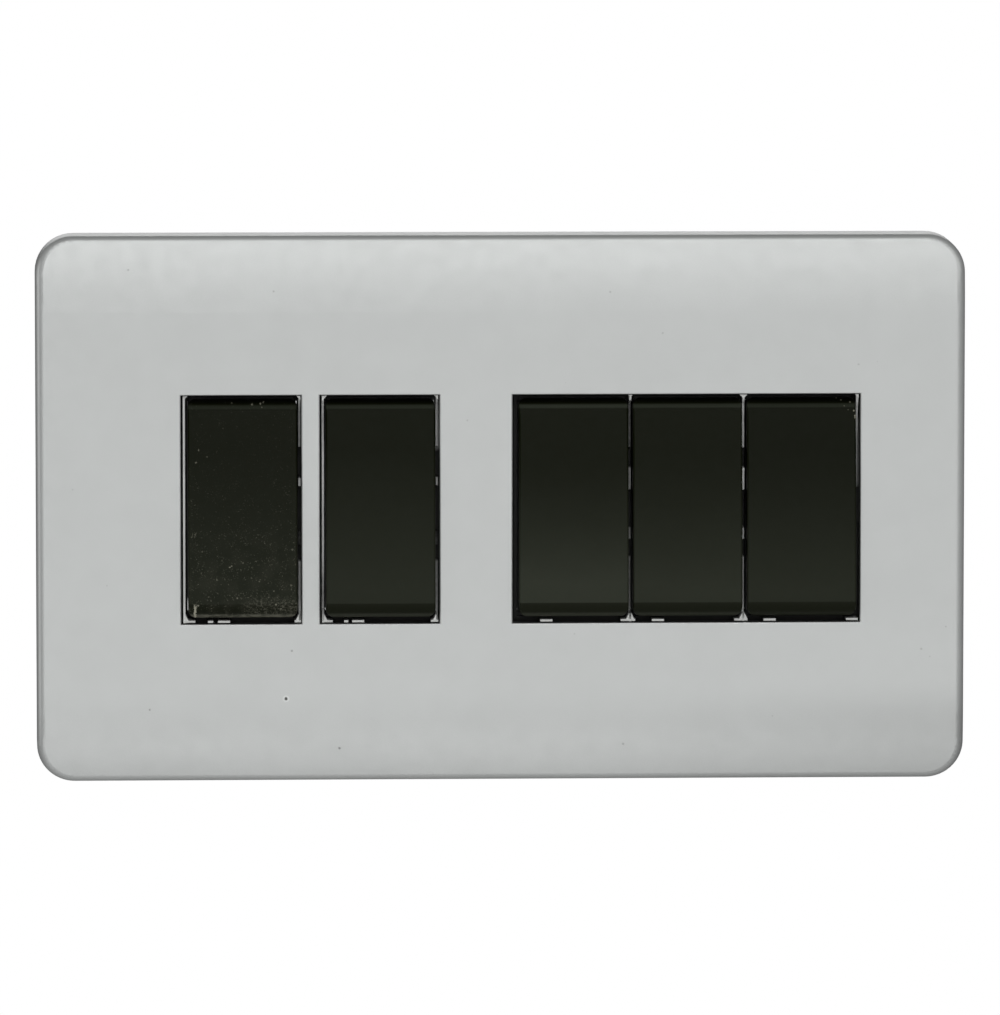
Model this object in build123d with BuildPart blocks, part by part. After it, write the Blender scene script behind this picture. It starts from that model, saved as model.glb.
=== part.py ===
from build123d import *
import os
from math import cos, radians, sin, sqrt

# Five-gang flush light switch on a twin wall plate.
# Millimetres. +X to the right and +Z up as seen from the room, +Y into the wall.
# The wall's surface is the plane y = 0, and the origin is the middle of the two fixing slots.

# ---------------------------------------------------------------- driving sizes
plate_w, plate_h, plate_d = 146.0, 86.0, 8.8   # outside of the snap-on cover
plate_r = 6.0                                  # its corners in the front view
plate_draft = 1.0                              # degrees on its four sides
edge_r = 1.3                                   # rounding where the sides meet the face
flat_z = 31.0                                  # the face is flat to here, and curves back above and below
curve_r = 41.6                                 # radius of that curve
skin = 2.2                                     # wall of the cover
fixing_span = 120.6                            # fixing slots, centre to centre

window_h = 36.0
windows = [(-40.75, 18.9), (-19.05, 18.8), (29.08, 54.65)]   # centre x and width in the cover
window_edge_r = 0.22

module_x = [-40.55, -18.94, 11.35, 29.25, 47.15]             # the five switches
collar_in_w, collar_in_h, collar_t = 17.48, 34.86, 0.43      # thin wall of the frame round each rocker
collar_low, collar_front = 3.2, 8.0                          # its front edge where it stays low, and where it stands up
upright_t = 0.32
# front edges of the upright walls as (height, depth), from bottom to top; the gaps clear the switches' clips and pivots
left_edge = [(-17.86, 8.1), (17.86, 8.1)]
worn_edge = [(-17.86, 8.0), (-16.9, 7.2), (-15.8, 5.8), (-13.5, 5.7), (-7.0, 7.0), (8.0, 7.2), (13.5, 6.4), (16.4, 6.6), (17.86, 8.0)]
low_edge = [(-17.86, 3.2), (17.86, 3.2)]
end_edge = [(-17.86, 3.2), (2.6, 3.2), (3.0, 5.0), (10.6, 5.5), (12.0, 5.9), (15.5, 6.5), (16.8, 7.2), (17.86, 7.8)]


def right_edge(reach, tab, gap=3.6):
    return [(-17.86, 7.6), (-16.8, reach + 0.3), (-8.4, reach), (-8.0, gap), (-6.1, gap), (-5.9, 4.8), (-3.8, 4.8), (-3.6, gap), (3.4, gap), (3.6, tab), (4.8, tab), (5.0, gap),
            (9.4, gap), (9.7, reach), (15.0, reach), (16.4, reach + 0.7), (17.86, 7.7)]


def divider_edge(reach, tab, gap=3.7):
    return [(-17.86, 8.0), (-16.4, reach), (-7.9, reach), (-7.5, gap), (-5.4, gap), (-5.0, tab - 0.2), (-3.3, tab - 0.2), (-2.9, gap), (2.4, gap), (2.8, tab), (6.2, tab), (6.6, gap),
            (9.0, gap), (9.4, reach), (16.4, reach), (17.0, 7.2), (17.86, 8.0)]


# centre x of each upright wall and its front edge
uprights = [(-49.70, left_edge), (-31.595, right_edge(5.9, 6.9)), (-27.935, worn_edge), (-10.04, right_edge(5.4, 6.4)), (2.395, low_edge),
            (20.3, divider_edge(5.1, 5.9)), (38.1, divider_edge(6.4, 7.1)), (56.0, end_edge)]
# raised pieces of the collars' bottom walls, at the corners and the pips: x from, x to
bottom_raised = [(-49.86, -47.99), (-32.42, -31.435), (-28.095, -26.45), (-11.04, -9.88), (18.81, 21.1), (36.7, 38.76), (54.3, 56.16)]
pips = [(-44.43, -42.55), (-46.0, -45.2), (-23.39, -21.51), (-24.65, -24.0), (6.17, 8.06), (23.72, 25.61), (41.29, 43.19)]
raised_t = 0.33
# little triangular webs: at the top corners as (corner x, leg along x), and the legs of those at the bottom
top_webs = [(-49.86, 0.75), (-31.435, -0.65), (-28.095, 0.8), (-9.88, -0.6), (20.3, 0.36), (20.3, -0.36), (38.05, 0.62), (38.05, -0.62), (56.16, -0.6)]
web_x, web_z = 0.45, 0.9
frame_w, frame_h, frame_t = 140.8, 80.8, 2.2                 # mounting frame plate
slot_w, slot_l = 4.2, 6.6

throw = 10.0                # degrees between the rocker's two stops
pivot_y = -5.2              # rocker axis
face_w = 4.6                # from the axis out to the middle of the rocker's face
crown_r = 285.0             # the face is crowned along its height
rocker_w, rocker_h = 17.15, 34.3
bevel_u, end_w = 15.1, 2.2  # where the end bevels begin, and how far out the end walls reach
rocker_wall = 1.1
rocker_corner_r, rocker_edge_r = 1.3, 0.3
pin_r, pin_clear = 1.3, 0.04
tip_reach = 13.2            # rocker axis to plunger tip
plunger_r, bore_r = 1.60, 1.65

lever_bend = 6.0            # each arm of the rocking contact leans forward by this
lever_ratio = 1.5           # its swing for each degree of the rocker
lever_t = 0.8
lever_y = pivot_y + tip_reach + 0.09 + lever_t / 2   # axis of the rocking contact
arm = 7.4                   # from that axis to the contact tips
tip_r, tip_t = 1.5, 0.7

house_w, house_h, house_wall = 17.0, 33.0, 1.2
house_front, house_back = -3.2, 20.5
block_h, block_d = 7.6, 6.0       # brass wire tunnels
block_front = 12.2
wire_r = 1.8
screw_r = 1.5

half = radians(throw / 2)         # the rockers stand at one stop: top in, bottom out
lean = radians(lever_ratio * throw / 2)
os.makedirs("parts", exist_ok=True)


# ---------------------------------------------------------------- snap-on cover
def face_y(z, back):
    """Depth of the face's side profile at height z, with the skin's inside at back > 0."""
    over = max(0.0, abs(z) - flat_z)
    r = curve_r - back
    return -(plate_d - back) + (r - sqrt(r * r - over * over))


z_out = 44.0
with BuildPart() as cover_cavity:
    with BuildSketch(Plane.XZ):
        RectangleRounded(plate_w - 2 * skin, plate_h - 2 * skin, plate_r - skin)
    extrude(amount=plate_d)
    with BuildSketch(Plane.YZ):
        with BuildLine():
            a = Line((1, -z_out), (face_y(z_out, skin), -z_out))
            b = ThreePointArc((face_y(z_out, skin), -z_out), (face_y((z_out + flat_z) / 2, skin), -(z_out + flat_z) / 2), (face_y(0, skin), -flat_z))
            c = Line((face_y(0, skin), -flat_z), (face_y(0, skin), flat_z))
            d = ThreePointArc((face_y(0, skin), flat_z), (face_y((z_out + flat_z) / 2, skin), (z_out + flat_z) / 2), (face_y(z_out, skin), z_out))
            e = Line((face_y(z_out, skin), z_out), (1, z_out))
            f = Line((1, z_out), (1, -z_out))
        make_face()
    extrude(amount=plate_w, both=True, mode=Mode.INTERSECT)

with BuildPart() as front_cover:
    with BuildSketch(Plane.XZ):
        RectangleRounded(plate_w, plate_h, plate_r)
    extrude(amount=plate_d + 1, taper=plate_draft)
    with BuildSketch(Plane.YZ):
        with BuildLine():
            a = Line((1, -z_out), (face_y(z_out, 0), -z_out))
            b = ThreePointArc((face_y(z_out, 0), -z_out), (face_y((z_out + flat_z) / 2, 0), -(z_out + flat_z) / 2), (-plate_d, -flat_z))
            c = Line((-plate_d, -flat_z), (-plate_d, flat_z))
            d = ThreePointArc((-plate_d, flat_z), (face_y((z_out + flat_z) / 2, 0), (z_out + flat_z) / 2), (face_y(z_out, 0), z_out))
            e = Line((face_y(z_out, 0), z_out), (1, z_out))
            f = Line((1, z_out), (1, -z_out))
        make_face()
    extrude(amount=plate_w, both=True, mode=Mode.INTERSECT)
    # rounding all round the face
    front_edges = front_cover.edges().filter_by(lambda e: e.center().Y < -plate_d + 2.2 and (abs(e.center().X) > 60 or abs(e.center().Z) > 35))
    rim_edges = [e for e in front_edges if not (abs(e.center().X) < 1 and abs(e.center().Z) < flat_z + 1)]
    fillet(rim_edges, radius=edge_r)
    add(cover_cavity.part, mode=Mode.SUBTRACT)
    # three windows for the rockers, with a barely broken front edge
    with BuildSketch(Plane.XZ.offset(1)):
        for cx, w in windows:
            with Locations((cx, 0)):
                Rectangle(w, window_h)
    extrude(amount=plate_d + 2, mode=Mode.SUBTRACT)
    window_edges = front_cover.edges().filter_by(lambda e: abs(e.center().Y + plate_d) < 0.01 and abs(e.center().Z) < 18.5 and -51 < e.center().X < 57 and e.length < 60 and e.length > 15)
    fillet(window_edges, radius=window_edge_r)
    # stiffening ribs behind the face, clear of the frame
    with BuildSketch(Plane.XZ.offset(4.4)):
        with Locations((-67.0, 0), (-53.2, 0), (-3.7, 0), (67.0, 0)):
            Rectangle(1.2, 2 * 36.0)
        with Locations((0, 26.0), (0, -26.0)):
            Rectangle(2 * 66.0, 1.2)
    extrude(amount=plate_d - skin - 4.4 + 0.2)
    # six snap ridges along the rear edge that catch the frame
    with BuildSketch(Plane.YZ):
        for s in (1, -1):
            zi = s * (plate_h / 2 - skin)
            with BuildLine():
                Polyline((-0.15, zi + s * 0.2), (-0.15, zi), (-0.45, zi - s * 0.7), (-0.65, zi - s * 0.7), (-1.15, zi), (-1.15, zi + s * 0.2), close=True)
            make_face()
    ridges = extrude(amount=4.0, both=True, mode=Mode.PRIVATE)
    with Locations((-50, 0, 0), (0, 0, 0), (50, 0, 0)):
        add(ridges)

front_cover.part.label = "front_cover"
export_step(front_cover.part, "parts/front_cover.step")

# ---------------------------------------------------------------- mounting frame
groups = [(module_x[0:1]), (module_x[1:2]), (module_x[2:5])]
with BuildPart() as mounting_frame:
    with BuildSketch(Plane.XZ):
        RectangleRounded(frame_w, frame_h, 3.2)
    extrude(amount=frame_t)
    # stiffening rim and ribs on the front of the plate
    with BuildSketch(Plane.XZ.offset(frame_t)):
        RectangleRounded(frame_w - 3.0, frame_h - 3.0, 2.6)
        RectangleRounded(frame_w - 5.4, frame_h - 5.4, 1.6, mode=Mode.SUBTRACT)
    extrude(amount=1.6)
    with BuildSketch(Plane.XZ.offset(frame_t)):
        with Locations((0, 24.0), (0, -24.0)):
            Rectangle(frame_w - 6.0, 1.2)
        with Locations((-53.0, 31.0), (-53.0, -31.0), (-4.0, 31.0), (-4.0, -31.0), (57.6, 31.0), (57.6, -31.0)):
            Rectangle(1.2, 15.0)
    extrude(amount=1.4)
    # bosses and slots for the two fixing screws
    with BuildSketch(Plane.XZ.offset(frame_t)):
        with Locations((-fixing_span / 2, 0), (fixing_span / 2, 0)):
            SlotOverall(10.0, 8.0)
    extrude(amount=0.9)
    # collars round the rockers; the three on the right share their dividing walls
    with BuildSketch(Plane.XZ.offset(frame_t)):
        for g in groups:
            with Locations(((g[0] + g[-1]) / 2, 0)):
                Rectangle(g[-1] - g[0] + collar_in_w + 2 * collar_t, collar_in_h + 2 * collar_t)
    extrude(amount=collar_low - frame_t)
    with BuildSketch(Plane.XZ.offset(frame_t)):
        for x0 in module_x:
            with Locations((x0, 0)):
                Rectangle(collar_in_w, collar_in_h)
    extrude(amount=collar_front, mode=Mode.SUBTRACT)
    # the upright walls stand further out, each with its own front edge
    for cx, edge in uprights:
        with BuildSketch(Plane.YZ.offset(cx)):
            with BuildLine():
                Polyline((-frame_t, edge[0][0]), *[(-d, z) for z, d in edge], (-frame_t, edge[-1][0]), close=True)
            make_face()
        extrude(amount=upright_t / 2, both=True)
    # corners and pips that stand up from the bottom walls, and the webs between them and the upright walls
    wall_z = (collar_in_h + collar_t) / 2
    with BuildSketch(Plane.XZ.offset(frame_t)):
        for a, b in bottom_raised:
            with Locations(((a + b) / 2, -wall_z)):
                Rectangle(b - a, raised_t)
        for cx, edge in uprights:
            for side_x in (-1, 1):
                xw = cx + side_x * upright_t / 2
                inside = any(abs(xw + side_x * 0.5 - x0) < collar_in_w / 2 for x0 in module_x)
                if inside and edge is not low_edge and edge is not end_edge:
                    with BuildLine():
                        Polyline((xw, -wall_z), (xw + side_x * web_x, -wall_z), (xw + side_x * web_x, -collar_in_h / 2), (xw, -collar_in_h / 2 + web_z), close=True)
                    make_face()
        for x, leg in top_webs:
            z = collar_in_h / 2 + collar_t
            with BuildLine():
                Polyline((x, z), (x + leg, z), (x, z - abs(leg)), close=True)
            make_face()
    extrude(amount=collar_front - frame_t)
    with BuildSketch(Plane.XZ.offset(frame_t)):
        for a, b in pips:
            with Locations(((a + b) / 2, -wall_z)):
                Rectangle(b - a, raised_t)
    extrude(amount=collar_front + 0.2 - frame_t)
    # apertures the switches pass through
    with BuildSketch(Plane.XZ):
        for x0 in module_x:
            with Locations((x0, 0)):
                Rectangle(house_w + 0.2, house_h + 0.2)
    extrude(amount=frame_t, mode=Mode.SUBTRACT)
    with BuildSketch(Plane.XZ):
        with Locations((-fixing_span / 2, 0), (fixing_span / 2, 0)):
            SlotOverall(slot_l, slot_w)
    extrude(amount=frame_t + 1.2, mode=Mode.SUBTRACT)
    # notches behind the long edges, where the cover's ridges catch
    with BuildSketch(Plane.XZ):
        with Locations(*[(x, s * frame_h / 2) for x in (-50, 0, 50) for s in (1, -1)]):
            Rectangle(9.6, 1.6)
    extrude(amount=1.25, mode=Mode.SUBTRACT)

mounting_frame.part.label = "mounting_frame"
export_step(mounting_frame.part, "parts/mounting_frame.step")


# ---------------------------------------------------------------- the five switches
def lever_point(s, back):
    """A point on the lower arm, s along it and back behind its front face, with the lever at rest."""
    a = radians(lever_bend)
    y, z = -lever_t / 2 + back, -s                        # flat lever about its axis
    y, z = y * cos(a) + z * sin(a), z * cos(a) - y * sin(a)   # the arm's own bend, towards the room
    y, z = y * cos(lean) - z * sin(lean), y * sin(lean) + z * cos(lean)
    return lever_y + y, z


# front face of the fixed contact tips, just clear of the closed moving tip
fixed_y = max(lever_point(arm + tip_r, lever_t + tip_t)[0], lever_point(arm - tip_r, lever_t + tip_t)[0]) + 0.05
strip_y = fixed_y + tip_t
strip_t = 0.8

block_at = {"common_terminal": (0.0, 11.4, 1), "way1_terminal": (-4.1, -11.4, -1), "way2_terminal": (4.1, -11.4, -1)}
bore_y = block_front + 2.9

for n, x0 in enumerate(module_x, start=1):
    # planes of the rocker at rest: front looks out along the rocker's own normal, side looks along +X
    front = Plane(origin=(x0, pivot_y, 0), x_dir=(1, 0, 0), z_dir=(0, -cos(half), sin(half)))
    side = Plane(origin=(x0, pivot_y, 0), x_dir=(0, sin(half), cos(half)), z_dir=(1, 0, 0))

    crown = crown_r - sqrt(crown_r ** 2 - bevel_u ** 2)
    w_bevel = face_w - crown
    u_end = rocker_h / 2
    with BuildPart() as rocker:
        # outside: crowned face, rounded end bevels, end walls
        with BuildSketch(side):
            with BuildLine():
                ThreePointArc((-bevel_u, w_bevel), (0, face_w), (bevel_u, w_bevel))
                ThreePointArc((bevel_u, w_bevel), (bevel_u + 1.22, w_bevel - 0.72), (u_end, end_w))
                Line((u_end, end_w), (u_end - 0.12, -0.1))
                Line((u_end - 0.12, -0.1), (-u_end + 0.12, -0.1))
                Line((-u_end + 0.12, -0.1), (-u_end, end_w))
                ThreePointArc((-u_end, end_w), (-bevel_u - 1.22, w_bevel - 0.72), (-bevel_u, w_bevel))
            make_face()
        extrude(amount=rocker_w / 2, both=True)
        with BuildSketch(front.offset(-1)):
            RectangleRounded(rocker_w, rocker_h, rocker_corner_r)
        extrude(amount=face_w + 2, mode=Mode.INTERSECT)
        # the long edges and the corners are rounded over; the two creases stay crisp
        long_edges = [e for e in rocker.edges() if front.to_local_coords(e.center()).Z > end_w + 0.15 and abs(front.to_local_coords(e.center()).X) > 0.1]
        fillet(long_edges, radius=rocker_edge_r)
        # inside
        with BuildSketch(side):
            with BuildLine():
                iu = u_end - rocker_wall - 0.2
                Polyline((-iu, -0.2), (-iu, end_w - 0.6), (-bevel_u + 0.3, w_bevel - 1.35), (0, face_w - 1.3), (bevel_u - 0.3, w_bevel - 1.35), (iu, end_w - 0.6), (iu, -0.2), close=True)
            make_face()
        extrude(amount=rocker_w / 2 - rocker_wall, both=True, mode=Mode.SUBTRACT)
        # two ribs, the lugs that carry the pivot pins, and the plunger's guide
        with BuildSketch(side.offset(0)):
            with Locations((0, w_bevel - 1.9)):
                Rectangle(2 * (u_end - 1.0), 1.6)
        extrude(amount=0.45, both=True)
        with BuildSketch(side):
            Circle(2.3)
            with Locations((0, 1.7)):
                Rectangle(4.6, 3.6)
        lugs = extrude(amount=6.1, both=True, mode=Mode.PRIVATE)
        with BuildSketch(side):
            with Locations((0, 1)):
                Rectangle(9, 12)
        gap = extrude(amount=5.05, both=True, mode=Mode.PRIVATE)
        add(lugs - gap)
        with BuildSketch(side):
            Circle(pin_r)
        pins = extrude(amount=7.15, both=True, mode=Mode.PRIVATE)
        add(pins - gap)
        with BuildSketch(front.offset(-6)):
            Circle(2.8)
        extrude(amount=6 + face_w - 1.0)
        with BuildSketch(front.offset(-6)):
            Circle(bore_r)
        extrude(amount=6 + 2.6, mode=Mode.SUBTRACT)
    rocker.part.label = f"rocker_{n}"
    export_step(rocker.part, f"parts/rocker_{n}.step")

    with BuildPart() as plunger:
        # a pin with a round nose and a thin tail inside the spring
        with BuildSketch(side):
            with BuildLine():
                nose = -tip_reach
                Line((0, nose), (0, -1.0))
                Line((0, -1.0), (0.8, -1.0))
                Line((0.8, -1.0), (0.8, -3.5))
                Line((0.8, -3.5), (plunger_r, -3.5))
                Line((plunger_r, -3.5), (plunger_r, nose + plunger_r))
                ThreePointArc((plunger_r, nose + plunger_r), (plunger_r * sin(radians(45)), nose + plunger_r - plunger_r * cos(radians(45))), (0, nose))
            make_face()
        revolve(axis=Axis((x0, pivot_y, 0), (0, -cos(half), sin(half))))
    plunger.part.label = f"plunger_{n}"
    export_step(plunger.part, f"parts/plunger_{n}.step")

    with BuildPart() as spring:
        with BuildLine():
            coil = Helix(pitch=0.95, height=5.5, radius=1.15, center=front.offset(-3.24).origin, direction=front.z_dir)
        with BuildSketch(Plane(origin=coil @ 0, z_dir=coil % 0)):
            Circle(0.22)
        sweep(path=coil, is_frenet=True)
    spring.part.label = f"spring_{n}"
    export_step(spring.part, f"parts/spring_{n}.step")

    # planes of the rocking contact at rest
    ax = Plane(origin=(x0, lever_y, 0), x_dir=(0, -sin(lean), cos(lean)), z_dir=(1, 0, 0))   # local: up the lever, out to the room
    with BuildPart() as contact_lever:
        ca, sa = cos(radians(lever_bend)), sin(radians(lever_bend))
        reach = arm + 2.4
        h = lever_t / 2
        with BuildSketch(ax):
            with BuildLine():
                Polyline(
                    (-reach * ca + h * sa, reach * sa + h * ca), (0, h / ca), (reach * ca - h * sa, reach * sa + h * ca),
                    (reach * ca + h * sa, reach * sa - h * ca), (0, -h / ca), (-reach * ca - h * sa, reach * sa - h * ca), close=True)
            make_face()
        extrude(amount=2.4, both=True)
        with BuildSketch(ax):
            Circle(0.45)
        extrude(amount=4.3, both=True)
    contact_lever.part.label = f"contact_lever_{n}"
    export_step(contact_lever.part, f"parts/contact_lever_{n}.step")

    with BuildPart() as lever_tips:
        for s in (1, -1):
            a = radians(lever_bend)
            # arm direction and backward normal in the lever's own plane, then in the room
            du, dw = s * cos(a), sin(a)
            nu, nw = s * sin(a), -cos(a)
            cu, cw = arm * du + nu * h, arm * dw + nw * h
            origin = ax.from_local_coords(Vector(cu, cw, 0))
            direction = ax.from_local_coords(Vector(cu + nu, cw + nw, 0)) - origin
            with BuildSketch(Plane(origin=origin, x_dir=(1, 0, 0), z_dir=direction)):
                Circle(tip_r)
            extrude(amount=tip_t, taper=12)
    lever_tips.part.label = f"lever_tips_{n}"
    export_step(lever_tips.part, f"parts/lever_tips_{n}.step")

    with BuildPart() as housing:
        with BuildSketch(Plane.XZ.offset(-house_front)):
            with Locations((x0, 0)):
                Rectangle(house_w, house_h)
        extrude(amount=-(house_back - house_front))
        with BuildSketch(Plane.XZ.offset(-house_front)):
            with Locations((x0, 0)):
                Rectangle(house_w - 2 * house_wall, house_h - 2 * house_wall)
        extrude(amount=-(block_front + block_d + 0.1 - house_front), mode=Mode.SUBTRACT)
        # ears with the rocker's pivot holes
        with BuildSketch(Plane.YZ.offset(x0)):
            with Locations((pivot_y, 0)):
                Circle(2.2)
            with Locations(((pivot_y + 2.0) / 2, 0)):
                Rectangle(2.0 - pivot_y, 4.4)
        ears = extrude(amount=7.2, both=True, mode=Mode.PRIVATE)
        with BuildSketch(Plane.YZ.offset(x0)):
            with Locations((-2, 0)):
                Rectangle(16, 10)
        between = extrude(amount=6.3, both=True, mode=Mode.PRIVATE)
        add(ears - between)
        with BuildSketch(Plane.YZ.offset(x0)):
            with Locations(((house_front + 0.3 + 2.0) / 2, 0)):
                Rectangle(2.0 - house_front - 0.3, 4.4)
        feet = extrude(amount=house_w / 2 - 0.5, both=True, mode=Mode.PRIVATE)
        add(feet - between)
        with BuildSketch(Plane.YZ.offset(x0)):
            with Locations((pivot_y, 0)):
                Circle(pin_r + pin_clear)
        extrude(amount=7.25, both=True, mode=Mode.SUBTRACT)
        # flanges that stop on the frame, and clip lugs behind it
        with BuildSketch(Plane.XZ.offset(frame_t + 0.1)):
            with Locations((x0, (house_h + 1.4) / 2), (x0, -(house_h + 1.4) / 2)):
                Rectangle(house_w - 0.6, 1.6 + 1.2)
            with Locations((x0, 0)):
                Rectangle(house_w - 2 * house_wall, house_h - 2 * house_wall, mode=Mode.SUBTRACT)
            with Locations((x0, 0)):
                Rectangle(house_w, collar_in_h - 0.3, mode=Mode.INTERSECT)
        extrude(amount=-house_front - frame_t - 0.1)
        with BuildSketch(Plane.YZ.offset(x0)):
            for s in (1, -1):
                with BuildLine():
                    zi = s * house_h / 2
                    Polyline((0.1, zi - s * 0.4), (0.1, zi + s * 0.7), (0.7, zi + s * 0.7), (2.4, zi), (2.4, zi - s * 0.4), close=True)
                make_face()
        extrude(amount=3.2, both=True)
        # ribs between the terminals
        back_y = block_front + block_d + 0.2
        with BuildSketch(Plane.XZ.offset(-back_y)):
            with Locations((x0, -11.3)):
                Rectangle(1.4, 8.2)
            with Locations((x0 + 0.65, -6.4)):
                Rectangle(13.5, 1.0)
        extrude(amount=back_y - 12.0)
        with BuildSketch(Plane.XZ.offset(-back_y)):
            with Locations((x0, 6.6)):
                Rectangle(14.8, 1.0)
            with Locations((x0 - 4.5, 11.2), (x0 + 4.5, 11.2)):
                Rectangle(1.2, 8.4)
        extrude(amount=back_y - 13.2)
        # wire entries above and below, screw access behind
        with BuildSketch(Plane.XY.offset(-house_h / 2 - 1)):
            with Locations((x0 - 4.1, bore_y), (x0 + 4.1, bore_y)):
                Circle(2.15)
        extrude(amount=1 + house_wall + 0.2, mode=Mode.SUBTRACT)
        with BuildSketch(Plane.XY.offset(house_h / 2 + 1)):
            with Locations((x0, bore_y)):
                Circle(2.15)
        extrude(amount=-(1 + house_wall + 0.2), mode=Mode.SUBTRACT)
        with BuildSketch(Plane.XZ.offset(-house_back - 1)):
            with Locations((x0, 11.4), (x0 - 4.1, -11.4), (x0 + 4.1, -11.4)):
                Circle(2.6)
        extrude(amount=1 + house_back - block_front - block_d + 0.5, mode=Mode.SUBTRACT)
    housing.part.label = f"housing_{n}"
    export_step(housing.part, f"parts/housing_{n}.step")

    with BuildPart() as common_terminal:
        cx, cz, s = block_at["common_terminal"]
        with BuildSketch(Plane.XZ.offset(-block_front)):
            with Locations((x0 + cx, cz)):
                RectangleRounded(6.4, block_h, 0.4)
        extrude(amount=-block_d)
        # strip to the middle, and the two cheeks whose notches carry the rocking contact
        with BuildSketch(Plane.XZ.offset(-block_front)):
            with Locations((x0, 3.4)):
                Rectangle(6.4, 9.6)
            with Locations((x0, 0)):
                Rectangle(8.2, 2.8)
        extrude(amount=-strip_t)
        with BuildSketch(Plane.YZ.offset(x0)):
            with Locations(((lever_y - 0.5 + block_front + strip_t) / 2, 0)):
                Rectangle(block_front + strip_t - lever_y + 0.5, 2.8)
            with BuildLine():
                Polyline((lever_y - 0.6, 0.55), (lever_y, 0.55), (lever_y, -0.55), (lever_y - 0.6, -0.55), close=True)
            make_face(mode=Mode.SUBTRACT)
            with Locations((lever_y, 0)):
                Circle(0.55, mode=Mode.SUBTRACT)
        cheeks = extrude(amount=4.1, both=True, mode=Mode.PRIVATE)
        with BuildSketch(Plane.YZ.offset(x0)):
            with Locations((lever_y, 0)):
                Rectangle(12, 6)
        mid = extrude(amount=3.3, both=True, mode=Mode.PRIVATE)
        add(cheeks - mid)
        with BuildSketch(Plane.XY.offset(cz - block_h / 2 - 1)):
            with Locations((x0 + cx, bore_y)):
                Circle(wire_r)
        extrude(amount=block_h + 2, mode=Mode.SUBTRACT)
        with BuildSketch(Plane.XZ.offset(-block_front - block_d - 1)):
            with Locations((x0 + cx, cz)):
                Circle(screw_r + 0.04)
        extrude(amount=1 + block_d - 2.9, mode=Mode.SUBTRACT)
    common_terminal.part.label = f"common_terminal_{n}"
    export_step(common_terminal.part, f"parts/common_terminal_{n}.step")

    with BuildPart() as way1_terminal:
        cx, cz, s = block_at["way1_terminal"]
        with BuildSketch(Plane.XZ.offset(-block_front)):
            with Locations((x0 + cx, cz)):
                RectangleRounded(6.0, block_h, 0.4)
        extrude(amount=-block_d)
        # pad behind the upper contact, and the leg down the left wall
        with BuildSketch(Plane.XZ.offset(-strip_y)):
            with Locations((x0 - 2.45, arm)):
                Rectangle(9.3, 4.2)
        extrude(amount=-strip_t)
        with BuildSketch(Plane.XZ.offset(-strip_y)):
            with Locations((x0 - 6.7, 0.2)):
                Rectangle(0.8, 18.6)
        extrude(amount=-(block_front + 0.8 - strip_y))
        with BuildSketch(Plane.XY.offset(cz - block_h / 2 - 1)):
            with Locations((x0 + cx, bore_y)):
                Circle(wire_r)
        extrude(amount=block_h + 2, mode=Mode.SUBTRACT)
        with BuildSketch(Plane.XZ.offset(-block_front - block_d - 1)):
            with Locations((x0 + cx, cz)):
                Circle(screw_r + 0.04)
        extrude(amount=1 + block_d - 2.9, mode=Mode.SUBTRACT)
    way1_terminal.part.label = f"way1_terminal_{n}"
    export_step(way1_terminal.part, f"parts/way1_terminal_{n}.step")

    with BuildPart() as way2_terminal:
        cx, cz, s = block_at["way2_terminal"]
        with BuildSketch(Plane.XZ.offset(-block_front)):
            with Locations((x0 + cx, cz)):
                RectangleRounded(6.0, block_h, 0.4)
        extrude(amount=-block_d)
        # pad behind the lower contact, and its short leg
        with BuildSketch(Plane.XZ.offset(-strip_y)):
            with Locations((x0 + 2.45, -arm)):
                Rectangle(9.3, 4.2)
        extrude(amount=-strip_t)
        with BuildSketch(Plane.XZ.offset(-strip_y)):
            with Locations((x0 + 6.7, -8.55)):
                Rectangle(0.8, 1.9)
        extrude(amount=-(block_front + 0.8 - strip_y))
        with BuildSketch(Plane.XY.offset(cz - block_h / 2 - 1)):
            with Locations((x0 + cx, bore_y)):
                Circle(wire_r)
        extrude(amount=block_h + 2, mode=Mode.SUBTRACT)
        with BuildSketch(Plane.XZ.offset(-block_front - block_d - 1)):
            with Locations((x0 + cx, cz)):
                Circle(screw_r + 0.04)
        extrude(amount=1 + block_d - 2.9, mode=Mode.SUBTRACT)
    way2_terminal.part.label = f"way2_terminal_{n}"
    export_step(way2_terminal.part, f"parts/way2_terminal_{n}.step")

# ---------------------------------------------------------------- small parts that all the switches share
with BuildPart() as fixed_contact_tips:
    for x0 in module_x:
        with BuildSketch(Plane.XZ.offset(-strip_y)):
            with Locations((x0, arm), (x0, -arm)):
                Circle(tip_r)
        extrude(amount=tip_t, taper=12)
fixed_contact_tips.part.label = "fixed_contact_tips"
export_step(fixed_contact_tips.part, "parts/fixed_contact_tips.step")

# cheese-head screws with a slot, backed off so that the wire tunnels are open
head_y = block_front + block_d + 0.05
with BuildPart() as terminal_screws:
    spots = [(x0 + cx, cz) for x0 in module_x for cx, cz, s in block_at.values()]
    with BuildSketch(Plane.XZ.offset(-(bore_y + wire_r + 0.05))):
        with Locations(*spots):
            Circle(screw_r)
    extrude(amount=-(head_y - bore_y - wire_r))
    with BuildSketch(Plane.XZ.offset(-head_y)):
        with Locations(*spots):
            Circle(2.3)
    extrude(amount=-1.6)
    with BuildSketch(Plane.XZ.offset(-head_y - 1.6)):
        with Locations(*spots):
            Rectangle(5, 0.6)
    extrude(amount=0.7, mode=Mode.SUBTRACT)
terminal_screws.part.label = "terminal_screws"
export_step(terminal_screws.part, "parts/terminal_screws.step")
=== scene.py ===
import math

import bmesh
import bpy
from mathutils import Matrix, Vector


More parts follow.
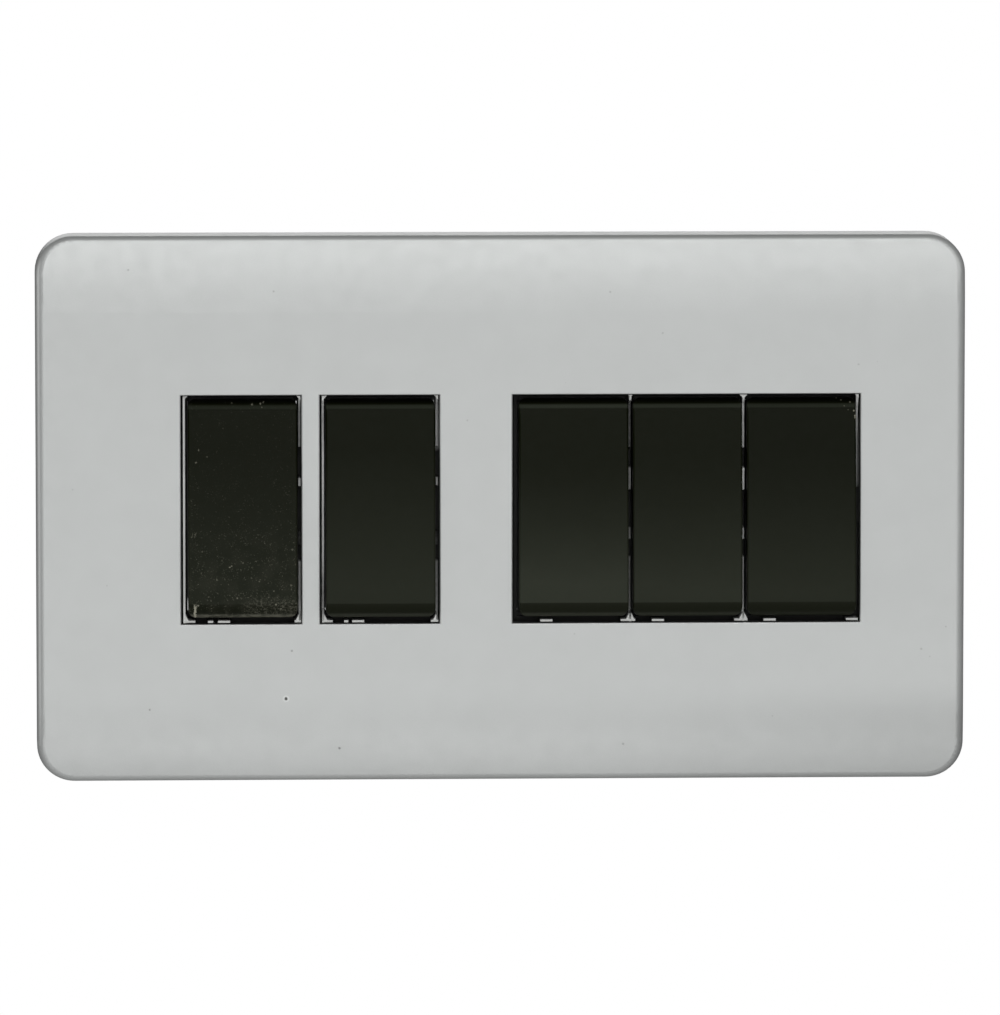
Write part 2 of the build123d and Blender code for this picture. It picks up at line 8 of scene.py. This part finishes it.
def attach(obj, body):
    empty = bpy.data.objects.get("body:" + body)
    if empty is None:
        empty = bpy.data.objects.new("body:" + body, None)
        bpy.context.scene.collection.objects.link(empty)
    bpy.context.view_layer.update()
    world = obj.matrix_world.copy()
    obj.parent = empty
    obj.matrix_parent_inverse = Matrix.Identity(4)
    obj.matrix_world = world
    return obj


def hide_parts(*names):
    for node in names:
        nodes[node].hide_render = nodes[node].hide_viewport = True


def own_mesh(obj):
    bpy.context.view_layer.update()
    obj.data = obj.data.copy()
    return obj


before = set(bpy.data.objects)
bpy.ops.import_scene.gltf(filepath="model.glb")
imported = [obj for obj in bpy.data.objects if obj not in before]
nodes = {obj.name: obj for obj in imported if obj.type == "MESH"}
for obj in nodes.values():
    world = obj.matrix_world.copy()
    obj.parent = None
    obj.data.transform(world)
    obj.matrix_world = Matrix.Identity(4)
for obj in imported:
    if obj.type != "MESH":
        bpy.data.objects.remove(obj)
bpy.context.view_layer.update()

scene = bpy.context.scene
MM = 0.001
module_x = [-40.55, -18.94, 11.35, 29.25, 47.15]
windows = [(-40.75, 18.9), (-19.05, 18.8), (29.08, 54.65)]     # the cover's: middle and width


# ---------------------------------------------------------------- node helpers
class Mat:
    """A procedural material in object coordinates, measured in millimetres."""

    def __init__(self, name):
        self.mat = bpy.data.materials.new(name)
        self.mat.use_nodes = True
        self.tree = self.mat.node_tree
        self.tree.nodes.clear()
        self.out = self.add("ShaderNodeOutputMaterial")
        self.bsdf = self.add("ShaderNodeBsdfPrincipled")
        self.link(self.bsdf.outputs["BSDF"], self.out.inputs["Surface"])
        coord = self.add("ShaderNodeTexCoord")
        scale = self.add("ShaderNodeVectorMath", operation="SCALE")
        scale.inputs["Scale"].default_value = 1000.0
        self.link(coord.outputs["Object"], scale.inputs[0])
        self.p = scale.outputs[0]
        xyz = self.add("ShaderNodeSeparateXYZ")
        self.link(self.p, xyz.inputs[0])
        self.x, self.y, self.z = xyz.outputs

    def add(self, kind, **props):
        n = self.tree.nodes.new(kind)
        for k, v in props.items():
            setattr(n, k, v)
        return n

    def link(self, a, b):
        self.tree.links.new(a, b)

    def put(self, value, socket):
        if isinstance(value, (int, float)):
            socket.default_value = value
        elif isinstance(value, (tuple, list)):
            socket.default_value = tuple(value)
        else:
            self.link(value, socket)

    def math(self, op, a, b=0.0, c=0.0, clamp=False):
        n = self.add("ShaderNodeMath", operation=op, use_clamp=clamp)
        self.put(a, n.inputs[0])
        self.put(b, n.inputs[1])
        if len(n.inputs) > 2:
            self.put(c, n.inputs[2])
        return n.outputs[0]

    def mul(self, a, b):
        return self.math("MULTIPLY", a, b)

    def plus(self, a, b):
        return self.math("ADD", a, b)

    def ramp(self, v, lo, hi, to_lo=0.0, to_hi=1.0, smooth=True):
        n = self.add("ShaderNodeMapRange", interpolation_type="SMOOTHSTEP" if smooth else "LINEAR")
        n.clamp = True
        self.put(v, n.inputs["Value"])
        for k, x in (("From Min", lo), ("From Max", hi), ("To Min", to_lo), ("To Max", to_hi)):
            self.put(x, n.inputs[k])
        return n.outputs["Result"]

    def noise(self, size_mm, detail=2.0, rough=0.5, distort=0.0, stretch=None, seed=0.0, vec=None):
        """Noise with features about size_mm across, from 0 to 1."""
        v = vec or self.p
        if stretch or seed:
            m = self.add("ShaderNodeMapping")
            self.link(v, m.inputs["Vector"])
            m.inputs["Scale"].default_value = stretch or (1, 1, 1)
            m.inputs["Location"].default_value = (seed, seed * 0.7, -seed * 1.3)
            v = m.outputs[0]
        n = self.add("ShaderNodeTexNoise")
        self.link(v, n.inputs["Vector"])
        n.inputs["Scale"].default_value = 1.0 / size_mm
        n.inputs["Detail"].default_value = detail
        n.inputs["Roughness"].default_value = rough
        n.inputs["Distortion"].default_value = distort
        return n.outputs["Fac"]

    def cells(self, size_mm, seed=0.0, feature="F1", vec=None):
        v = vec or self.p
        m = self.add("ShaderNodeMapping")
        self.link(v, m.inputs["Vector"])
        m.inputs["Location"].default_value = (seed, seed * 0.7, -seed * 1.3)
        n = self.add("ShaderNodeTexVoronoi", feature=feature)
        self.link(m.outputs[0], n.inputs["Vector"])
        n.inputs["Scale"].default_value = 1.0 / size_mm
        return n

    def mix(self, fac, a, b):
        n = self.add("ShaderNodeMix", data_type="RGBA")
        self.put(fac, n.inputs[0])
        self.put(a, n.inputs[6])
        self.put(b, n.inputs[7])
        return n.outputs[2]

    def shade(self, colour, factor):
        """colour times factor."""
        n = self.add("ShaderNodeVectorMath", operation="SCALE")
        self.put(colour[:3] if isinstance(colour, (tuple, list)) else colour, n.inputs[0])
        self.put(factor, n.inputs["Scale"])
        return n.outputs[0]

    def tint(self, *fields):
        """A colour from three values."""
        n = self.add("ShaderNodeCombineXYZ")
        for i, f in enumerate(fields):
            self.put(f, n.inputs[i])
        return n.outputs[0]

    def dist(self, at):
        """Distance in mm to a point, or in the plane of the face if its y is None."""
        x, y, z = at
        if y is None:
            v = self.tint(self.x, 0.0, self.z)
            at = (x, 0.0, z)
        else:
            v = self.p
        n = self.add("ShaderNodeVectorMath", operation="DISTANCE")
        self.link(v, n.inputs[0])
        n.inputs[1].default_value = at
        return n.outputs["Value"]

    def bump(self, *layers):
        """Layers of (height 0..1, depth in mm)."""
        total = None
        for h, d in layers:
            t = self.mul(h, d)
            total = t if total is None else self.plus(total, t)
        n = self.add("ShaderNodeBump")
        n.inputs["Strength"].default_value = 1.0
        n.inputs["Distance"].default_value = MM
        self.link(total, n.inputs["Height"])
        self.link(n.outputs[0], self.bsdf.inputs["Normal"])
        return n

    def set(self, **values):
        for k, v in values.items():
            name = k.replace("_", " ")
            socket = self.bsdf.inputs[name]
            if isinstance(v, (tuple, list)) and len(v) == 3:
                v = (*v, 1.0)
            self.put(v, socket)
        return self


def lin(r, g, b):
    """Linear colour from 0..255 display values."""
    return tuple((c / 255 / 12.92) if c <= 10 else ((c / 255 + 0.055) / 1.055) ** 2.4 for c in (r, g, b))


# ---------------------------------------------------------------- silver-grey painted cover
def cover_material():
    m = Mat("silver_grey_paint")
    flake = m.noise(0.11, detail=1.0, rough=0.6)
    mottle = m.noise(9.0, detail=3.0)
    drift = m.noise(60.0, detail=1.0, seed=4.0)
    level = m.plus(m.ramp(flake, 0.3, 0.7, -0.022, 0.022, False), m.plus(m.ramp(mottle, 0.3, 0.7, -0.010, 0.010), m.ramp(drift, 0.3, 0.7, -0.008, 0.008)))
    level = m.plus(level, 1.0)
    # painted shade greys the plate towards its lower edge, most of all to the right
    dust_film_and_painted_shade = m.mul(m.ramp(m.z, -27.0, -35.5), m.ramp(m.x, 12.0, 72.0, 0.05, 0.19, False))
    level = m.mul(level, m.math("SUBTRACT", 1.0, dust_film_and_painted_shade))
    paint =m.shade((0.545, 0.560, 0.552), level)

    # specks of dirt on the face: x, z, radius, darkness
    specks = [(-33.8, -29.76, 0.25, 0.92), (-55.2, -31.4, 0.20, 0.40), (-32.9, -22.2, 0.19, 0.36), (-25.4, -37.7, 0.21, 0.50), (-58.3, 37.7, 0.18, 0.24),
              (-35.6, 34.3, 0.16, 0.26), (17.1, 34.1, 0.17, 0.24), (25.3, 27.6, 0.16, 0.22), (56.1, 22.6, 0.17, 0.26), (59.0, 23.0, 0.13, 0.22),
              (19.2, -37.2, 0.17, 0.22), (42.7, -32.8, 0.15, 0.22), (66.1, -22.3, 0.18, 0.24), (67.5, -23.5, 0.13, 0.2), (70.0, -18.8, 0.15, 0.24),
              (11.5, -19.7, 0.14, 0.2), (10.1, 19.9, 0.13, 0.18), (-5.3, 14.0, 0.14, 0.2), (-67.1, 3.3, 0.13, 0.2), (-61.8, -11.8, 0.12, 0.16)]
    wobble = m.ramp(m.noise(0.5, detail=2.0, seed=9.0), 0.2, 0.8, -0.10, 0.10, False)
    dirt = None
    for x, z, r, dark in specks:
        d = m.plus(m.dist((x, None, z)), wobble)
        s = m.ramp(d, r * 0.45, r * 1.25, dark, 0.0)
        dirt = s if dirt is None else m.math("MAXIMUM", dirt, s)
    on_face = m.ramp(m.y, -7.4, -8.2)
    dirt = m.mul(dirt, on_face)
    # the dark speck low on the left has a paler ring, where the paint lifted
    ring = m.dist((-33.8, None, -29.76))
    ring = m.mul(m.ramp(ring, 0.26, 0.38), m.ramp(ring, 0.62, 0.40))
    colour = m.mix(dirt, paint, lin(52, 50, 46) + (1.0,))
    colour = m.mix(m.mul(m.mul(ring, on_face), 0.35), colour, (0.86, 0.87, 0.86, 1.0))

    # the moulding's inside is bare: pale grey with a trace of overspray near the windows
    inside = m.mul(m.mul(m.ramp(m.math("ABSOLUTE", m.x), 70.80, 70.76), m.ramp(m.math("ABSOLUTE", m.z), 40.80, 40.76)), m.ramp(m.y, -6.70, -6.62))
    bare = m.shade((0.40, 0.41, 0.41), m.plus(0.94, m.mul(m.noise(3.0, detail=4.0), 0.12)))
    colour = m.mix(inside, colour, bare)
    # the windows' reveals are painted black, a painted shade up to their rounded front edges
    painted_reveal_shade = None
    for cx, w in windows:
        s = m.ramp(m.math("ABSOLUTE", m.plus(m.x, -cx)), w / 2 + 0.10, w / 2 + 0.04)
        painted_reveal_shade = s if painted_reveal_shade is None else m.math("MAXIMUM", painted_reveal_shade, s)
    painted_reveal_shade = m.mul(m.mul(painted_reveal_shade, m.ramp(m.math("ABSOLUTE", m.z), 18.10, 18.04)), m.ramp(m.plus(m.y, m.ramp(m.noise(0.6, detail=3.0, seed=31.0), 0.3, 0.7, -0.05, 0.05)), -8.66, -8.54))
    painted_reveal_shade = m.mul(painted_reveal_shade, m.ramp(m.noise(1.1, detail=4.0, seed=33.0), 0.3, 0.7, 0.90, 0.97))
    colour = m.mix(painted_reveal_shade, colour, (0.008, 0.008, 0.007, 1.0))
    inside = m.math("MAXIMUM", inside, painted_reveal_shade)

    rough = m.plus(0.40, m.plus(m.ramp(m.noise(2.2, detail=4.0, seed=2.0), 0.3, 0.7, -0.025, 0.025, False), m.mul(dirt, 0.3)))
    rough = m.plus(rough, m.mul(inside, 0.12))
    m.set(Base_Color=colour, Roughness=rough, Metallic=m.math("SUBTRACT", 0.42, m.mul(m.math("MAXIMUM", inside, dirt), 0.42)))
    m.bump((flake, 0.0022), (m.noise(0.9, detail=2.0, seed=3.0), 0.0035), (m.mul(dirt, 1.0), 0.03))
    return m.mat


# ---------------------------------------------------------------- pale grey frame
def frame_material():
    m = Mat("frame_polycarbonate")
    n = m.noise(4.0, detail=4.0)
    base = m.shade((0.75, 0.76, 0.74), m.plus(0.95, m.mul(n, 0.10)))
    # moulding flow marks fan out from the gate in the middle of the plate
    flow = m.noise(5.0, detail=3.0, distort=1.5, stretch=(0.25, 1, 1.6), seed=6.0)
    base = m.mix(m.ramp(flow, 0.45, 0.75, 0.0, 0.25), base, (0.70, 0.71, 0.69, 1.0))
    # dust gathers on the ledges
    dust = m.mul(m.ramp(m.noise(0.7, detail=5.0, rough=0.7, seed=1.0), 0.56, 0.72), 0.35)
    base = m.mix(dust, base, (0.52, 0.50, 0.46, 1.0))
    # the slots round the rockers are painted black, a painted shade thinning towards the walls' front edges
    slot = None
    for cx, w in windows:
        s = m.ramp(m.math("ABSOLUTE", m.plus(m.x, -cx)), w / 2 + 0.5, w / 2 + 0.3)
        slot = s if slot is None else m.math("MAXIMUM", slot, s)
    slot = m.mul(m.mul(slot, m.ramp(m.math("ABSOLUTE", m.z), 18.6, 18.4)), m.ramp(m.y, -1.9, -2.1))
    patchy = m.ramp(m.noise(0.9, detail=4.0, rough=0.65, seed=21.0), 0.3, 0.7, -0.30, 0.30, False)
    depth = m.plus(m.plus(m.y, patchy), m.ramp(m.z, -4.0, -9.0, 0.0, -0.5))
    slot_shade = m.mul(m.mul(m.ramp(depth, -7.3, -4.7, 0.0, 1.0, False), slot), 0.94)
    # on two right-hand walls the painted shade is weaker in their upper part; the leftmost wall is a little darker in
    # its own
    for x, low, high, keep in ((-10.04, 9.0, 16.6, 0.1), (56.0, 3.0, 13.5, 0.45)):
        along = m.mul(m.ramp(m.z, low - 0.4, low + 0.4), m.ramp(m.z, high + 0.9, high - 0.9))
        weaker_shade = m.mul(m.ramp(m.math("ABSOLUTE", m.plus(m.x, -x)), 0.8, 0.5), along)
        slot_shade = m.mul(slot_shade, m.math("SUBTRACT", 1.0, m.mul(weaker_shade, 1.0 - keep)))
    left_wall_darkening = m.mul(m.ramp(m.x, -48.8, -49.2), m.mul(m.ramp(m.z, 4.0, 7.5), m.ramp(m.noise(1.3, detail=3.0, seed=41.0), 0.2, 0.6, 0.14, 0.24)))
    base = m.shade(base, m.math("SUBTRACT", 1.0, left_wall_darkening))
    # the slots' painted shade: near black
    base = m.mix(slot_shade, base, (0.011, 0.011, 0.009, 1.0))
    m.set(Base_Color=base, Roughness=m.plus(m.plus(0.42, m.mul(n, 0.12)), m.mul(slot_shade, 0.3)))
    m.bsdf.inputs["Specular IOR Level"].default_value = 0.3
    m.bump((m.noise(0.25, detail=3.0), 0.006), (flow, 0.01))
    return m.mat


# ---------------------------------------------------------------- black rockers
def rocker_material(n):
    m = Mat(f"black_rocker_{n}")
    x0 = module_x[n - 1]
    # u runs up the rocker's own face, w out of it, from its pivot
    tilt = math.radians(5.0)
    from_pivot = m.plus(m.y, 5.2)
    u = m.plus(m.mul(from_pivot, math.sin(tilt)), m.mul(m.z, math.cos(tilt)))
    # how grey the lower end is, how suddenly, and how strong the painted highlights along the upper crease and the
    # lower edge are
    lift, power, top_highlight, low_highlight = {1: (0.34, 1.1, 0.50, 0.55), 2: (0.58, 1.1, 0.62, 0.75), 3: (1.08, 1.75, 0.85, 0.75), 4: (0.76, 1.55, 0.72, 0.55), 5: (0.57, 1.4, 0.55, 0.15)}[n]
    grain = m.noise(0.16, detail=2.0, rough=0.6)
    cloud = m.noise(7.0, detail=3.0, seed=float(n))
    # a warm black, a little greyer towards the lower end
    lower_end_grey = m.ramp(m.plus(u, m.ramp(cloud, 0.3, 0.7, -0.8, 0.8, False)), 9.0, -12.7, 0.0, 1.0, False)
    lower_end_grey = m.mul(m.math("POWER", lower_end_grey, power), lift)
    top = 0.0052 if n == 5 else 0.0058
    base = m.mix(lower_end_grey, (top, top * 1.24, top * 0.42, 1.0), (0.0310, 0.0350, 0.0245, 1.0))
    # the ends: a painted highlight just past the upper crease, painted shade above it; a facet darkened by painted
    # shade, with a painted highlight along its lower edge
    upper = m.mul(m.ramp(u, 15.32, 15.68), m.ramp(u, 16.28, 15.95))
    lower_facet_shade = m.ramp(u, -14.9, -15.15)
    lower_edge_highlight = m.mul(m.ramp(u, -16.4, -16.85), m.ramp(u, -17.25, -17.12))
    top_shade = m.ramp(u, 15.9, 17.0)
    base = m.mix(m.mul(lower_facet_shade, 0.9), base, (0.0090, 0.0104, 0.0052, 1.0))
    base = m.mix(m.mul(upper, top_highlight), base, (0.036, 0.041, 0.030, 1.0))
    base = m.mix(m.mul(lower_edge_highlight, low_highlight), base, (0.045, 0.048, 0.036, 1.0))
    base = m.mix(m.mul(top_shade, 0.92), base, (0.0030, 0.0034, 0.0019, 1.0))
    base = m.shade(base, m.plus(0.88, m.plus(m.mul(grain, 0.14), m.mul(cloud, 0.10))))
    rough = m.plus(0.36, m.ramp(m.noise(1.2, detail=4.0, seed=n * 3.0), 0.3, 0.7, -0.035, 0.035, False))
    # faint handling marks: short hair scratches
    hair = m.noise(0.5, detail=2.0, stretch=(9.0, 1.0, 0.7), seed=n * 5.0)
    scratch = m.ramp(hair, 0.70, 0.76, 0.0, 0.05)
    base = m.mix(scratch, base, lin(86, 88, 80) + (1.0,))
    bumps = [(grain, 0.0020), (m.noise(0.6, detail=3.0, seed=7.0), 0.003), (scratch, -0.006)]

    if n == 1:
        # dust and scuffs on the left-hand rocker, thickest along its lower edge
        fine = m.ramp(m.noise(0.26, detail=3.0, rough=0.75, seed=11.0), 0.57, 0.70)
        coarse = m.ramp(m.noise(1.4, detail=4.0, rough=0.7, seed=13.0), 0.41, 0.60)
        spread = m.plus(m.ramp(u, 6.0, -14.5, 0.16, 0.90), m.mul(m.ramp(m.x, x0 - 5.8, x0 - 7.6), m.ramp(u, 11.0, 5.0, 0.0, 0.25)))
        specks = m.mul(m.mul(fine, coarse), spread)
        # along the lower edge the dust has caked into a thin broken line
        line_n = m.noise(0.9, detail=5.0, rough=0.75, stretch=(0.35, 1, 1.4), seed=17.0)
        line = m.mul(m.ramp(m.plus(u, m.ramp(line_n, 0.3, 0.7, -0.15, 0.15, False)), -16.5, -16.75), m.ramp(u, -17.2, -17.05))
        line = m.mul(line, m.ramp(line_n, 0.42, 0.60, 0.05, 1.0))
        right_half = m.mul(m.ramp(m.x, x0 - 1.5, x0 + 3.0), m.mul(m.ramp(u, -13.4, -15.2), m.ramp(m.noise(0.4, detail=4.0, rough=0.8, seed=29.0), 0.46, 0.66)))
        dust = m.math("MAXIMUM", m.mul(specks, 0.32), m.math("MAXIMUM", m.mul(line, 0.26), m.mul(right_half, 0.18)))
        # the pale scuff in the lower left corner
        bend = m.plus(m.x, m.plus(48.03, m.ramp(m.noise(0.45, detail=4.0, rough=0.7, seed=37.0), 0.25, 0.75, -0.30, 0.30, False)))
        scuff = m.mul(m.ramp(m.math("ABSOLUTE", bend), 0.28, 0.08), m.mul(m.ramp(m.z, -14.5, -15.1), m.ramp(m.z, -17.15, -16.9)))
        scuff = m.mul(scuff, m.ramp(m.noise(0.35, detail=3.0, seed=39.0), 0.35, 0.55, 0.35, 0.95))
        dust = m.math("MAXIMUM", dust, scuff)
        # single specks
        for x, z, r, a in ((-47.6, -14.85, 0.18, 0.42), (-47.4, 9.45, 0.15, 0.26), (-47.85, 7.5, 0.17, 0.24), (-46.1, 8.4, 0.12, 0.12), (-43.6, 12.8, 0.12, 0.10),
                           (-39.0, 16.45, 0.20, 0.34), (-37.7, 16.6, 0.19, 0.50), (-37.2, 16.8, 0.15, 0.40), (-37.5, 16.1, 0.12, 0.28), (-42.2, 16.7, 0.16, 0.16),
                           (-42.6, -8.85, 0.17, 0.40), (-42.3, -8.65, 0.13, 0.34), (-40.5, -8.2, 0.11, 0.20), (-44.6, -10.8, 0.14, 0.24), (-42.8, -11.5, 0.13, 0.14),
                           (-38.0, -11.1, 0.13, 0.20), (-35.7, -12.6, 0.13, 0.22), (-41.4, -13.7, 0.14, 0.28), (-35.4, -14.7, 0.20, 0.36), (-34.6, -15.4, 0.18, 0.28),
                           (-45.6, -14.1, 0.12, 0.20), (-48.0, -3.7, 0.15, 0.14), (-46.9, -6.4, 0.16, 0.14), (-33.0, -11.7, 0.22, 0.18), (-32.8, -6.1, 0.2, 0.16)):
            d = m.plus(m.dist((x, None, z)), m.ramp(m.noise(0.30, detail=3.0, seed=19.0), 0.2, 0.8, -0.12, 0.12, False))
            dust = m.math("MAXIMUM", dust, m.ramp(d, r * 0.35, r * 1.15, a, 0.0))
        dust_film_and_painted_shade = m.mul(m.ramp(m.noise(3.0, detail=4.0, seed=23.0), 0.40, 0.70), m.ramp(u, 2.0, -15.0, 0.0, 0.045))
        base = m.mix(dust_film_and_painted_shade, base, lin(120, 116, 104) + (1.0,))
        base = m.mix(dust, base, lin(180, 178, 160) + (1.0,))
        rough = m.plus(rough, m.mul(dust, 0.4))
        bumps.append((dust, 0.03))
    if n == 5:
        # tiny nicks near the top right corner
        nick = None
        outward = m.plus(m.mul(from_pivot, -math.cos(tilt)), m.mul(m.z, math.sin(tilt)))
        on_edge, on_face = m.ramp(outward, 3.3, 3.8), m.ramp(outward, 2.2, 2.7)
        for x, z, r, a in ((52.75, 17.15, 0.13, 0.40), (53.45, 16.85, 0.14, 0.35), (54.85, 16.55, 0.15, 0.35), (55.40, 15.25, 0.15, 0.55), (55.60, 14.45, 0.18, 0.8), (55.62, 14.15, 0.15, 0.7), (53.9, 16.0, 0.12, 0.22), (54.5, 15.4, 0.11, 0.18)):
            s = m.mul(m.ramp(m.dist((x, None, z)), r * 0.4, r * 1.2, a, 0.0), on_edge if x > 55 else on_face)
            nick = s if nick is None else m.math("MAXIMUM", nick, s)
        base = m.mix(nick, base, lin(170, 168, 150) + (1.0,))
        rough = m.plus(rough, m.mul(nick, 0.3))
    m.set(Base_Color=base, Roughness=rough)
    m.bsdf.inputs["Specular IOR Level"].default_value = 0.055
    m.bump(*bumps)
    return m.mat


# ---------------------------------------------------------------- switch mouldings and metal
def housing_material():
    m = Mat("housing_polycarbonate")
    n = m.noise(2.5, detail=4.0)
    base = m.shade((0.020, 0.021, 0.020), m.plus(0.85, m.mul(n, 0.3)))
    # spark-eroded mould texture, and drag lines along the draw of the mould
    pits = m.noise(0.22, detail=3.0, rough=0.65)
    drag = m.noise(0.35, detail=2.0, stretch=(1.0, 0.06, 1.0), seed=5.0)
    base = m.mix(m.ramp(drag, 0.55, 0.75, 0.0, 0.25), base, (0.050, 0.050, 0.048, 1.0))
    m.set(Base_Color=base, Roughness=m.plus(0.40, m.mul(n, 0.18)))
    m.bsdf.inputs["Specular IOR Level"].default_value = 0.4
    m.bump((pits, 0.012), (drag, 0.008))
    return m.mat


def nylon_material():
    m = Mat("natural_nylon")
    n = m.noise(1.0, detail=4.0)
    m.set(Base_Color=m.shade((0.84, 0.81, 0.72), m.plus(0.94, m.mul(n, 0.10))), Roughness=m.plus(0.34, m.mul(n, 0.1)))
    m.bump((m.noise(0.2, detail=2.0), 0.004))
    return m.mat


def metal_material(name, colour, rough, brush=(1.0, 1.0, 0.08), tarnish=(0.30, 0.20, 0.12), amount=0.35, depth=0.004):
    m = Mat(name)
    lines = m.noise(0.18, detail=3.0, stretch=brush)
    patch = m.ramp(m.noise(1.8, detail=4.0, seed=8.0), 0.42, 0.70)
    base = m.shade(colour, m.plus(0.90, m.mul(lines, 0.20)))
    base = m.mix(m.mul(patch, amount), base, tarnish + (1.0,))
    m.set(Base_Color=base, Roughness=m.plus(rough, m.plus(m.mul(lines, 0.12), m.mul(patch, 0.14))))
    m.bsdf.inputs["Metallic"].default_value = 1.0
    m.bump((lines, depth), (m.noise(0.9, detail=2.0, seed=2.0), 0.01))
    return m.mat


mats = {
    "front_cover": cover_material(),
    "mounting_frame": frame_material(),
    "housing": housing_material(),
    "plunger": nylon_material(),
    "spring": metal_material("spring_wire", (0.58, 0.58, 0.60), 0.24, (1, 1, 1), (0.25, 0.24, 0.22), 0.2),
    "contact_lever": metal_material("copper_strip", (0.80, 0.46, 0.30), 0.26, (1.0, 1.0, 0.06), (0.32, 0.16, 0.10), 0.4),
    "lever_tips": metal_material("silver_alloy", (0.86, 0.86, 0.84), 0.22, (1, 1, 1), (0.42, 0.40, 0.36), 0.35),
    "brass": metal_material("pressed_brass", (0.80, 0.62, 0.30), 0.25, (0.08, 1.0, 1.0), (0.36, 0.25, 0.10), 0.35),
    "terminal_screws": metal_material("zinc_plated_steel", (0.74, 0.71, 0.58), 0.27, (1, 1, 1), (0.40, 0.38, 0.30), 0.3),
}
mats["fixed_contact_tips"] = mats["lever_tips"]
rocker_mats = {n: rocker_material(n) for n in range(1, 6)}


def wear(obj, mat):
    obj.data.materials.clear()
    obj.data.materials.append(mat)


for name, obj in nodes.items():
    stem = name.rstrip("12345").rstrip("_")
    if stem == "rocker":
        wear(obj, rocker_mats[int(name[-1])])
    elif stem in mats:
        wear(obj, mats[stem])
    else:
        wear(obj, mats["brass"])

# ---------------------------------------------------------------- springs
# each coil stands on its plunger's shoulder; it is a copy of the CAD spring, attached to its plunger
for n, x in enumerate(module_x, 1):
    cad_coil = nodes[f"spring_{n}"]
    coil = bpy.data.objects.new(f"coil_spring_{n}", cad_coil.data.copy())
    scene.collection.objects.link(coil)
    coil.matrix_world = cad_coil.matrix_world.copy()
    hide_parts(f"spring_{n}")
    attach(coil, f"plunger_{n}")
    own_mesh(coil)

# ---------------------------------------------------------------- floor, light and camera
bpy.ops.mesh.primitive_plane_add(size=2.2, location=(0, -0.25, -0.60))
floor = bpy.context.object
floor.name = "floor"
m = Mat("pale_floor")
m.set(Base_Color=m.shade((0.86, 0.86, 0.86), m.plus(0.985, m.mul(m.noise(40.0, detail=3.0), 0.03))), Roughness=0.7)
# it thins out towards its edges, so that it runs into the white surroundings
clear = m.add("ShaderNodeBsdfTransparent")
fade = m.add("ShaderNodeMixShader")
m.link(m.ramp(m.dist((0.0, 0.0, 0.0)), 250.0, 1050.0), fade.inputs[0])
m.link(m.bsdf.outputs["BSDF"], fade.inputs[1])
m.link(clear.outputs[0], fade.inputs[2])
m.link(fade.outputs[0], m.out.inputs["Surface"])
floor.data.materials.append(m.mat)

world = bpy.data.worlds.new("studio")
scene.world = world
world.use_nodes = True
wt = world.node_tree
wt.nodes.clear()
w_out = wt.nodes.new("ShaderNodeOutputWorld")
w_mix = wt.nodes.new("ShaderNodeMixShader")
w_path = wt.nodes.new("ShaderNodeLightPath")
w_white = wt.nodes.new("ShaderNodeBackground")
w_white.inputs["Color"].default_value = (1, 1, 1, 1)
w_white.inputs["Strength"].default_value = 1.0
w_soft = wt.nodes.new("ShaderNodeBackground")
wt.links.new(w_path.outputs["Is Camera Ray"], w_mix.inputs[0])
wt.links.new(w_soft.outputs[0], w_mix.inputs[1])
wt.links.new(w_white.outputs[0], w_mix.inputs[2])
wt.links.new(w_mix.outputs[0], w_out.inputs["Surface"])
w_soft.inputs["Color"].default_value = (1.0, 1.0, 1.0, 1.0)
w_soft.inputs["Strength"].default_value = 0.0825


def soft_box(name, azimuth, elevation, distance, width, height, power, colour=(1, 1, 1), aim=(0, 0, 0)):
    """A rectangular soft box; azimuth 0 is straight in front of the plate, positive to the right."""
    light = bpy.data.lights.new(name, "AREA")
    light.shape = "RECTANGLE"
    light.size, light.size_y = width, height
    light.energy = power
    light.color = colour
    o = bpy.data.objects.new(name, light)
    scene.collection.objects.link(o)
    a, e = math.radians(azimuth), math.radians(elevation)
    back = Vector((math.sin(a) * math.cos(e), -math.cos(a) * math.cos(e), math.sin(e)))
    o.location = Vector(aim) + back * distance
    o.rotation_mode = "QUATERNION"
    o.rotation_quaternion = (-back).to_track_quat("-Z", "Y")
    o.visible_camera = False
    return o


soft_box("front_high", 0, 24, 2.6, 1.0, 0.7, 8.4)
soft_box("front", 0, 5, 2.6, 1.2, 0.7, 5.8)
soft_box("front_low", 0, -12, 2.6, 2.2, 0.8, 4.0)
soft_box("overhead", 0, 45, 2.4, 2.0, 0.7, 12.9)
soft_box("right", 40, 20, 2.6, 1.5, 1.1, 7.0)
soft_box("left_side", -78, 5, 2.6, 1.2, 1.6, 8.7)
soft_box("low_bounce", 0, -27, 1.0, 1.2, 0.3, 1.9)
soft_box("behind", 180, 20, 2.4, 1.8, 1.0, 9.0)

cam_data = bpy.data.cameras.new("camera")
cam = bpy.data.objects.new("camera", cam_data)
scene.collection.objects.link(cam)
scene.camera = cam
az, el, away = math.radians(-2.3), math.radians(5.3), 1.400
back = Vector((math.sin(az) * math.cos(el), -math.cos(az) * math.cos(el), math.sin(el)))
cam_data.sensor_width = 36.0
cam_data.lens = 6.3386 * away * 1000 * 36.0 / 1015.0
cam_data.clip_start, cam_data.clip_end = 0.05, 20.0
cam.location = Vector((0.147, 0, -0.561)) * MM + back * away
cam.rotation_mode = "QUATERNION"
cam.rotation_quaternion = (-back).to_track_quat("-Z", "Y")

scene.view_settings.view_transform = "Standard"
scene.view_settings.look = "None"
scene.view_settings.exposure = 0.0
scene.view_settings.gamma = 1.0
